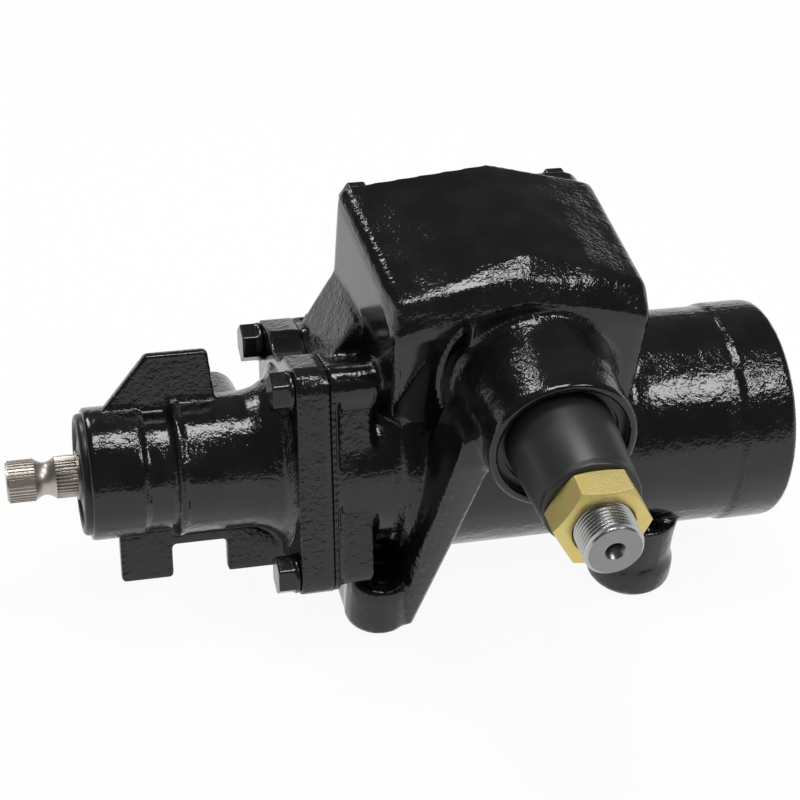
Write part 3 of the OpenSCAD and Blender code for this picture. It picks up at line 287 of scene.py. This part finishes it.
paint = cast_paint()
bolt_black = bolt_paint()
rubber = seal_rubber()
bright_steel = turned_steel("turned steel", sector_axis, grey(0.55), grey(0.42), 0.22)
faced_steel = turned_steel("faced steel", sector_axis, grey(0.3), grey(0.23), 0.3)
spline_steel = turned_steel(
    "spline steel", worm_axis, colour(0.62, 0.57, 0.52), colour(0.4, 0.36, 0.31), 0.36, axis=X
)
thread_steel = plain_metal("thread steel", grey(0.4), grey(0.56), 0.2)
gear_steel = plain_metal("gear steel", grey(0.34), grey(0.48), 0.25)
ground_steel = plain_metal("ground steel", grey(0.6), grey(0.75), 0.12)
dull_steel = plain_metal("dull steel", grey(0.3), grey(0.44), 0.34)
spring_steel = plain_metal("oiled spring steel", grey(0.1), grey(0.2), 0.28)
bronze = plain_metal("bronze", colour(0.42, 0.27, 0.12), colour(0.56, 0.38, 0.18), 0.3)
brass = plain_metal("brass", colour(0.55, 0.38, 0.15), colour(0.68, 0.5, 0.22), 0.25)
zinc = yellow_zinc()
guard_black = moulded_plastic()

slot_finishes = {
    "casting": paint,
    "painted_bolt": bolt_black,
    "seal_rubber": rubber,
    "bushing_bronze": bronze,
    "plain_steel": dull_steel,
    "spring_steel": spring_steel,
    "bearing_steel": ground_steel,
    "seat_brass": brass,
    "spline_steel": spline_steel,
    "gear_steel": gear_steel,
    "ring_plastic": guard_black,
    "turned_steel": bright_steel,
    "guard_plastic": guard_black,
    "yellow_zinc": zinc,
}
slot_of = {part["node"]: part["material_slot"] for part in record["subparts"]}
groups = record["behaviour"]["bodies"]
body_of = {node: body for body, group in groups.items() for node in group}
for node, slot in slot_of.items():
    finishes = nodes[node].data.materials
    finishes.clear()
    finishes.append(slot_finishes[slot])
# The seal ring and washer inside the boss take the black rubber finish, so they show dark there instead of as
# bright steel.
for node in ("sector_seal_ring", "sector_washer"):
    nodes[node].data.materials[0] = rubber


# Shared shapes

FLAT_ANGLE = math.radians(0.5)
EASE_ANGLE = math.radians(35)
HELIX_STEPS = 72


def add_object(name, data):
    made = bpy.data.objects.new(name, data)
    bpy.context.scene.collection.objects.link(made)
    return made


def mesh_of(name, bm):
    """A mesh from a bmesh, which is used up."""
    mesh = bpy.data.meshes.new(name)
    bm.to_mesh(mesh)
    bm.free()
    return mesh


def settle(made, body, replaced=()):
    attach(made, body)
    if replaced:
        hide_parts(*replaced)


def piece(name, bm, body, finish, sharp=35, replaced=()):
    """Finishes a bmesh as a piece of the object that rides on a body."""
    mesh = mesh_of(name, bm)
    mesh.shade_smooth()
    mesh.set_sharp_from_angle(angle=math.radians(sharp))
    mesh.materials.append(finish)
    made = add_object(name, mesh)
    settle(made, body, replaced)
    return made


def node_copy(node):
    """A CAD node's shape as a bmesh with its flat triangles joined."""
    bm = bmesh.new()
    bm.from_mesh(nodes[node].data)
    bmesh.ops.remove_doubles(bm, verts=bm.verts, dist=WELD)
    bmesh.ops.dissolve_limit(bm, angle_limit=FLAT_ANGLE, verts=bm.verts, edges=bm.edges)
    return bm


def with_modifiers(made):
    """The object's mesh with its modifiers applied, in place of the object."""
    view = bpy.context.evaluated_depsgraph_get()
    mesh = bpy.data.meshes.new_from_object(made.evaluated_get(view))
    bpy.data.objects.remove(made)
    return mesh


def eased(made, width, segments=2):
    """Rounds a piece's sharp edges a little, as machining and plating leave them."""
    ease = made.modifiers.new("Eased edges", "BEVEL")
    ease.width = width
    ease.segments = segments
    ease.limit_method = "ANGLE"
    ease.angle_limit = EASE_ANGLE


def chain(bm, centre, axis, profile):
    """A profile's points, (radius, distance along the axis), joined by edges beside the axis."""
    side = axis.orthogonal().normalized()
    points = [bm.verts.new(centre + side * radius + axis * along) for radius, along in profile]
    return points + [bm.edges.new(pair) for pair in zip(points, points[1:])]


def turned(bm, centre, axis, profile, steps=96):
    """Adds a turned shape."""
    geom = chain(bm, centre, axis, profile)
    bmesh.ops.spin(
        bm, geom=geom, cent=centre, axis=axis, angle=FULL_TURN, steps=steps, use_merge=True
    )


def joined(bm):
    """Closes the seams and poles of turned shapes, and turns their faces outwards."""
    bmesh.ops.remove_doubles(bm, verts=bm.verts, dist=WELD)
    bmesh.ops.recalc_face_normals(bm, faces=bm.faces)
    return bm


def trim(bm, point, normal):
    """Cuts off what lies beyond a plane, and gives the cut's edges."""
    cut = bmesh.ops.bisect_plane(
        bm, geom=bm.verts[:] + bm.edges[:] + bm.faces[:], plane_co=point, plane_no=normal,
        clear_outer=True,
    )
    return [item for item in cut["geom_cut"] if isinstance(item, bmesh.types.BMEdge)]


def helix(bm, centre, axis, start, end, profile, pitch):
    """Adds a thread's face: one pitch of its profile, wound along the axis, cut at both ends."""
    turns = math.ceil((end - start) / pitch) + 2
    foot = centre + axis * (start - pitch)
    geom = chain(bm, foot, axis, profile)
    bmesh.ops.spin(
        bm, geom=geom, cent=foot, axis=axis, dvec=axis * (pitch / HELIX_STEPS),
        angle=FULL_TURN * turns, steps=HELIX_STEPS * turns,
    )
    bmesh.ops.remove_doubles(bm, verts=bm.verts, dist=2 * WELD)
    trim(bm, centre + axis * start, -axis)
    trim(bm, centre + axis * end, axis)


def v_thread(root, crest, pitch):
    """One pitch of a 60 degree thread, from root to root."""
    return [
        (root, 0), (root, pitch / 8), (crest, pitch * 7 / 16), (crest, pitch * 9 / 16),
        (root, pitch * 7 / 8), (root, pitch),
    ]


# Castings and painted bolts

CAST_TRIANGLES = 185000
FLAT_BLEND = 2 * MM
FLAT_SOFTNESS = 0.15
SMOOTH_FACTOR = 0.5
SQUARE_SIDE = (0.93, 0.975)
SQUARE_TOP = (0.955, 0.98)
TOP_EASE = 0.6

# The roof, in millimetres from the sector axis
ROOF_BACK_Y, BROW_Y, FRONT_Y, BOSS_ROOT_Y = 44, -21, -37.5, -45
ROOF_HANG, FRONT_RISE, BOSS_RISE = 4.5, 1.5, 2
ROOF_Z = (18, 40)
ROOF_LEFT_X = (25, -5)

# The barrel, in millimetres from the worm axis
BARREL_PROUD, BAND_STEP = 1.3, 1.8
BARREL_X = (52, 60)
BAND_X = (104, 107.5)
WALL_INSIDE_R = (45, 48)
WALL_OUTSIDE_R = (57, 54)


def cast_weight(point, low, high, flats):
    """0 on the machined faces, given as (axis, side, depth) of the box, and 1 on the cast skin."""
    weight = 1.0
    for axis, side, depth in flats:
        edge = low[axis] if side < 0 else high[axis]
        weight = min(weight, max(0.0, abs(point[axis] - edge) - depth) / FLAT_BLEND)
    return weight


def ramp(value, start, end):
    """0 at the start and 1 at the end, on a straight line between them."""
    return min(1.0, max(0.0, (value - start) / (end - start)))


def level_ease(normal):
    """Less on faces square to the worm, the shaft or the roof, where the paint lies smoother."""
    side = ramp(max(abs(normal.x), abs(normal.y)), *SQUARE_SIDE)
    top = ramp(normal.z, *SQUARE_TOP)
    return max(0.0, 1 - side - TOP_EASE * top)


def roof_fall(point):
    """How far the chamber's roof hangs left of its ridge: most at the brow, less over the boss."""
    x, y, z = (point - sector_axis) / MM
    fall = ROOF_HANG * ramp(y, ROOF_BACK_Y, BROW_Y)
    fall -= FRONT_RISE * ramp(y, BROW_Y, FRONT_Y) + BOSS_RISE * ramp(y, FRONT_Y, BOSS_ROOT_Y)
    return fall * ramp(z, *ROOF_Z) * ramp(x, *ROOF_LEFT_X) * MM


def barrel_swell(point):
    """How far the barrel's cast wall stands out, and its end band a little in."""
    x, y, z = (point - worm_axis) / MM
    radius = math.hypot(y, z)
    swell = ramp(x, *BARREL_X) * (BARREL_PROUD - BAND_STEP * ramp(x, *BAND_X))
    return swell * ramp(radius, *WALL_INSIDE_R) * ramp(radius, *WALL_OUTSIDE_R) * MM


def shape_body(point):
    """The main casting where the photograph shows it off the solid: lower roof, fuller barrel."""
    out = Vector((0, point.y - worm_axis.y, point.z - worm_axis.z)).normalized()
    return point + out * barrel_swell(point) - ALONG_Z * roof_fall(point)


def cast_skin(name, node, finish, flats, voxel, passes, shaped=None):
    """A painted piece with its corners blended as sand and paint leave them, from the solid."""
    low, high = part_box(node)
    rough = add_object(name + "_rough", mesh_of(name + "_rough", node_copy(node)))
    remesh = rough.modifiers.new("Sand", "REMESH")
    remesh.mode = "VOXEL"
    remesh.voxel_size = voxel
    rough = add_object(name + "_even", with_modifiers(rough))
    skin = rough.vertex_groups.new(name="soft")
    for vertex in rough.data.vertices:
        if shaped:
            vertex.co = shaped(vertex.co)
        cast = cast_weight(vertex.co, low, high, flats)
        skin.add([vertex.index], FLAT_SOFTNESS + (1 - FLAT_SOFTNESS) * cast, "REPLACE")
    blend = rough.modifiers.new("Blend", "SMOOTH")
    blend.iterations = passes
    blend.factor = SMOOTH_FACTOR
    blend.vertex_group = "soft"
    thin = rough.modifiers.new("Thin", "DECIMATE")
    triangles = 2 * len(rough.data.polygons)
    thin.ratio = min(1.0, CAST_TRIANGLES / triangles)
    mesh = with_modifiers(rough)
    mesh.name = name
    for vertex in mesh.vertices:
        sides = zip(vertex.co, low, high)
        vertex.co = [min(max(value, least), most) for value, least, most in sides]
    weights = [
        cast_weight(vertex.co, low, high, flats) * level_ease(vertex.normal)
        for vertex in mesh.vertices
    ]
    mesh.attributes.new("cast", "FLOAT", "POINT").data.foreach_set("value", weights)
    mesh.shade_smooth()
    mesh.materials.clear()
    mesh.materials.append(finish)
    settle(add_object(name, mesh), "housing", [node])


body_flats = [
    (X, -1, 0.5 * MM), (Y, -1, 1.5 * MM), (Y, 1, 0.5 * MM), (Z, -1, 0.5 * MM), (X, 1, 0.5 * MM),
]
valve_flats = [(X, -1, 1.5 * MM), (X, 1, 4 * MM)]
cover_flats = [(Y, -1, 20 * MM)]
cast_skin("cast_body", "main_housing", paint, body_flats, 1.1 * MM, 20, shape_body)
cast_skin("cast_valve_body", "valve_housing", paint, valve_flats, 0.9 * MM, 6)
cast_skin("cast_side_cover", "side_cover", paint, cover_flats, 0.9 * MM, 8)
cast_skin("valve_bolts", "valve_housing_bolts", bolt_black, [], 0.45 * MM, 14)
cast_skin("cover_bolts", "side_cover_bolts", bolt_black, [], 0.45 * MM, 14)


# Nuts and plug: the solids with their edges eased


def eased_copy(name, node, width, segments=2):
    """A rigid piece that stands for a CAD node, with its edges eased."""
    slot = slot_of[node]
    finish = slot_finishes[slot]
    made = piece(name, node_copy(node), body_of[node], finish, replaced=[node])
    eased(made, width, segments)


eased_copy("output_nut", "pitman_nut", 0.25 * MM)
eased_copy("adjuster_nut", "adjuster_locknut", 0.3 * MM)
eased_copy("barrel_plug", "end_plug", 0.8 * MM, 3)


# The flange joint, painted over

SEAM_HALF = 2.5 * MM
SEAM_INSET = 0.992
SLAB_SPAN = 0.4


def seam_bead(name, node, side):
    """Paint that fills one side of the castings' seam, a little under their edges."""
    casting = add_object(name + "_casting", mesh_of(name + "_casting", node_copy(node)))
    bm = bmesh.new()
    size = Matrix.Diagonal((SEAM_HALF, SLAB_SPAN, SLAB_SPAN, 1))
    place = Matrix.Translation((valve_high.x + side * SEAM_HALF / 2, worm_axis.y, worm_axis.z))
    bmesh.ops.create_cube(bm, size=1, matrix=place @ size)
    slab = add_object(name + "_slab", mesh_of(name + "_slab", bm))
    keep = casting.modifiers.new("Slab", "BOOLEAN")
    keep.operation = "INTERSECT"
    keep.object = slab
    bm = bmesh.new()
    bm.from_mesh(with_modifiers(casting))
    bpy.data.objects.remove(slab)
    inset = Matrix.Diagonal((1, SEAM_INSET, SEAM_INSET, 1))
    bmesh.ops.transform(bm, verts=bm.verts, matrix=inset, space=Matrix.Translation(-worm_axis))
    piece(name, bm, "housing", paint)


seam_bead("seam_left", "valve_housing", -1)
seam_bead("seam_right", "main_housing", 1)


# Input end

DUST_BORE_R = 11.15 * MM
RIM_R = 2.1 * MM
RIM_STEPS = 9
GROOVE_END = 13.4 * MM
GROOVE_W = 9.2 * MM
GROOVE_STEPS = 12
WAIST_DEPTH = 2.0 * MM
SPLINE_R = 9.525 * MM
WAIST_R = SPLINE_R - 0.2 * MM


def dust_ring():
    """The rubber ring round the input, with a rolled rim and a thin inner lip."""
    outer = dust_high.z - worm_axis.z
    thick = dust_high.x - dust_low.x
    face = worm_axis + ALONG_X * (dust_low.x - worm_axis.x)
    profile = [
        (DUST_BORE_R, thick), (DUST_BORE_R, 1.0 * MM),
        (DUST_BORE_R + 0.8 * MM, 0.3 * MM), (DUST_BORE_R + 2 * MM, 0.6 * MM),
        (outer - 7 * MM, 1.9 * MM), (outer - 5 * MM, 2.0 * MM), (outer - 4.2 * MM, 1.4 * MM),
    ]
    for step in range(RIM_STEPS):
        turn = math.radians(170 - 20 * step)
        profile.append((outer - RIM_R + RIM_R * math.cos(turn), RIM_R - RIM_R * math.sin(turn)))
    profile += [(outer, thick), (DUST_BORE_R, thick)]
    bm = bmesh.new()
    turned(bm, face, ALONG_X, profile)
    piece("dust_ring", joined(bm), "housing", rubber, 50, ["dust_seal"])


def input_stub():
    """The splined input shaft, with a hollow-ground groove for the pinch bolt."""
    end = dust_high.x - GROOVE_END
    start = end - GROOVE_W
    bm = bmesh.new()
    for edge, normal in ((start, ALONG_X), (end, -ALONG_X)):
        half = node_copy("input_shaft")
        bmesh.ops.holes_fill(half, edges=trim(half, ALONG_X * edge, normal))
        mesh = mesh_of("half", half)
        bm.from_mesh(mesh)
        bpy.data.meshes.remove(mesh)
    profile = [(0, 0)]
    for step in range(GROOVE_STEPS + 1):
        share = step / GROOVE_STEPS
        profile.append((WAIST_R - WAIST_DEPTH * math.sin(math.pi * share), GROOVE_W * share))
    profile.append((0, GROOVE_W))
    turned(bm, Vector((start, worm_axis.y, worm_axis.z)), ALONG_X, profile, steps=72)
    piece("input_stub", joined(bm), "stub", spline_steel, replaced=["input_shaft"])


dust_ring()
input_stub()


# Output end

OUTPUT_PITCH = 25.4 / 14 * MM
OUTPUT_R = 12.7 * MM
OUTPUT_ROOT_R = OUTPUT_R - 0.62 * OUTPUT_PITCH
OUTPUT_FACE_R = 11.3 * MM
DRILL_R = 4.1 * MM
PILOT_R = 1.7 * MM
DRILL_LIP = 0.3 * MM
LUG_PITCH = 25.4 / 13 * MM
LUG_END_GAP = 0.8 * MM
tip = sector_axis.y - shaft_low.y
thread_start = sector_axis.y - nut_low.y - 3 * MM


def shaft_guard():
    """The tapered sleeve over the output splines, with a lip under the nut."""
    start = (sector_axis.y - guard_high.y) / MM
    end = (sector_axis.y - guard_low.y) / MM
    profile = [
        (19.0, start), (23.5, start), (23.9, start + 0.4), (21.6, end - 5), (21.3, end - 4.3),
        (21.2, end - 3.6), (21.2, end - 1.2), (21.05, end - 0.6), (20.7, end - 0.2), (20.2, end),
        (13.0, end), (13.0, end - 2.2), (17.8, end - 2.2), (17.8, start + 3), (19.0, start),
    ]
    bm = bmesh.new()
    profile = [(radius * MM, along * MM) for radius, along in profile]
    turned(bm, sector_axis, OUT, profile, steps=128)
    piece("shaft_guard", joined(bm), "sector", guard_black, 30, ["spline_guard"])


def output_shaft():
    """The output shaft up to its threaded end."""
    bm = node_copy("sector_shaft")
    bmesh.ops.holes_fill(bm, edges=trim(bm, sector_axis + OUT * thread_start, OUT))
    replaced = ["sector_shaft"]
    made = piece("output_shaft", bm, "sector", bright_steel, replaced=replaced)
    eased(made, 0.2 * MM)


def output_thread():
    """The shaft's threaded end, with the chamfer that starts the nut."""
    bm = bmesh.new()
    profile = v_thread(OUTPUT_ROOT_R, OUTPUT_R, OUTPUT_PITCH)
    helix(bm, sector_axis, OUT, thread_start, tip, profile, OUTPUT_PITCH)
    for vertex in bm.verts:
        offset = vertex.co - sector_axis
        along = OUT * offset.dot(OUT)
        across = offset - along
        limit = OUTPUT_FACE_R + tip - offset.dot(OUT)
        if across.length > limit:
            vertex.co = sector_axis + along + across.normalized() * limit
    piece("output_thread", joined(bm), "sector", thread_steel, 30)


def output_face():
    """The shaft's end face with its centre drilling."""
    bm = bmesh.new()
    profile = [
        (OUTPUT_FACE_R, tip), (DRILL_R + DRILL_LIP, tip), (DRILL_R, tip - DRILL_LIP),
        (PILOT_R, tip - 5.2 * MM), (PILOT_R, tip - 9 * MM), (0, tip - 10 * MM),
    ]
    turned(bm, sector_axis, OUT, profile, steps=72)
    piece("output_face", joined(bm), "sector", faced_steel, 30)


def lug_threads():
    """The threads in the frame lugs' holes."""
    lugs = [mount for mount in record["mounts"] if mount["name"].startswith("lug")]
    for number, mount in enumerate(lugs, 1):
        hole_r = mount["dims"]["r_mm"] * MM
        hole_h = mount["dims"]["length_mm"] * MM
        profile = v_thread(hole_r - 0.85 * MM, hole_r + 0.25 * MM, LUG_PITCH)
        foot = Vector(mount["pos_m"])
        bm = bmesh.new()
        helix(bm, foot, ALONG_Z, LUG_END_GAP, hole_h - LUG_END_GAP, profile, LUG_PITCH)
        piece(f"lug_thread_{number}", bm, "housing", paint, 30)


shaft_guard()
output_shaft()
output_thread()
output_face()
lug_threads()


# Stage, light and camera

FLOOR_DROP = 0.5 * MM
FLOOR_HALF = 6
FLOOR_GLOW = 0.94
CAMERA_PLACE = Vector((-186.96, -626.91, 626.60)) * MM
CAMERA_RIGHT = Vector((0.96867, -0.23903, 0.06737))
CAMERA_UP = Vector((0.09405, 0.60415, 0.79130))
CAMERA_BACK = Vector((-0.22985, -0.76017, 0.60771))
FOCAL_PIXELS = 1924.15
IMAGE_PIXELS = 800
SENSOR = 36.0
NEAREST = 0.01
centre = (cad_low + cad_high) / 2


def seen_directly(finish):
    """1 for camera, mirror and glass rays, 0 for light that only bounces."""
    kinds = ("Camera", "Glossy", "Transmission")
    camera, glossy, glass = (finish.node("LightPath", output=f"Is {kind} Ray") for kind in kinds)
    return (camera + glossy + glass).join("MINIMUM", 1.0)


def white_floor():
    """A pale floor that shows nearly white and keeps a soft shadow."""
    finish = Finish("studio floor", Base_Color=grey(0.8), Roughness=0.9)
    glow = finish.node("Emission", inputs={"Color": grey(1.0), "Strength": 1.0})
    pale = Socket(finish, finish.shader.outputs[0])
    share = seen_directly(finish) * FLOOR_GLOW
    mixed = finish.node("MixShader", inputs={0: share, 1: pale, 2: glow})
    finish.set_input(finish.tree.nodes["Material Output"].inputs["Surface"], mixed)
    return finish.material


def studio_floor():
    bm = bmesh.new()
    bmesh.ops.create_grid(bm, x_segments=1, y_segments=1, size=FLOOR_HALF)
    bmesh.ops.translate(bm, verts=bm.verts, vec=(0, 0, cad_low.z - FLOOR_DROP))
    mesh = mesh_of("studio_floor", bm)
    mesh.materials.append(white_floor())
    add_object("studio_floor", mesh)


class World(Finish):
    """The world's nodes, with a Background as the shader."""

    def __init__(self):
        world = bpy.data.worlds.new("studio")
        world.use_nodes = True
        bpy.context.scene.world = world
        self.tree = world.node_tree
        self.shader = self.tree.nodes["Background"]


def studio_world():
    """White behind and under the object, dark overhead where the lamps hang."""
    world = World()
    height = world.parts(world.node("TexCoord", output="Generated"))[Z]
    ceiling = world.between(height, -0.04, 0.16)
    backdrop = world.blend(ceiling, grey(1.0), grey(0.1))
    world.feed(Color=world.blend(seen_directly(world), grey(0.4), backdrop), Strength=1.0)


def softbox(name, place, width, height, power):
    """A rectangular lamp that faces the object."""
    lamp = bpy.data.lights.new(name, "AREA")
    lamp.shape = "RECTANGLE"
    lamp.size = width
    lamp.size_y = height
    lamp.energy = power
    made = add_object(name, lamp)
    made.location = place
    made.rotation_mode = "QUATERNION"
    made.rotation_quaternion = (centre - Vector(place)).to_track_quat("-Z", "Y")


def photo_camera():
    """The camera that was fitted to the photograph."""
    data = bpy.data.cameras.new("photo_camera")
    data.sensor_width = SENSOR
    data.lens = FOCAL_PIXELS / IMAGE_PIXELS * SENSOR
    data.clip_start = NEAREST
    camera = add_object("photo_camera", data)
    turn = Matrix((CAMERA_RIGHT, CAMERA_UP, CAMERA_BACK)).transposed()
    camera.matrix_world = Matrix.Translation(CAMERA_PLACE) @ turn.to_4x4()
    bpy.context.scene.camera = camera


studio_floor()
studio_world()
softbox("overhead", (0.04, 0.2, 1.3), 0.5, 0.42, 8)
softbox("front_right", (0.68, -0.5, 1.25), 0.42, 0.4, 6.5)
softbox("back_left", (-0.29, 0.98, 0.86), 0.24, 0.4, 2.8)
photo_camera()
bpy.context.scene.view_settings.view_transform = "Standard"
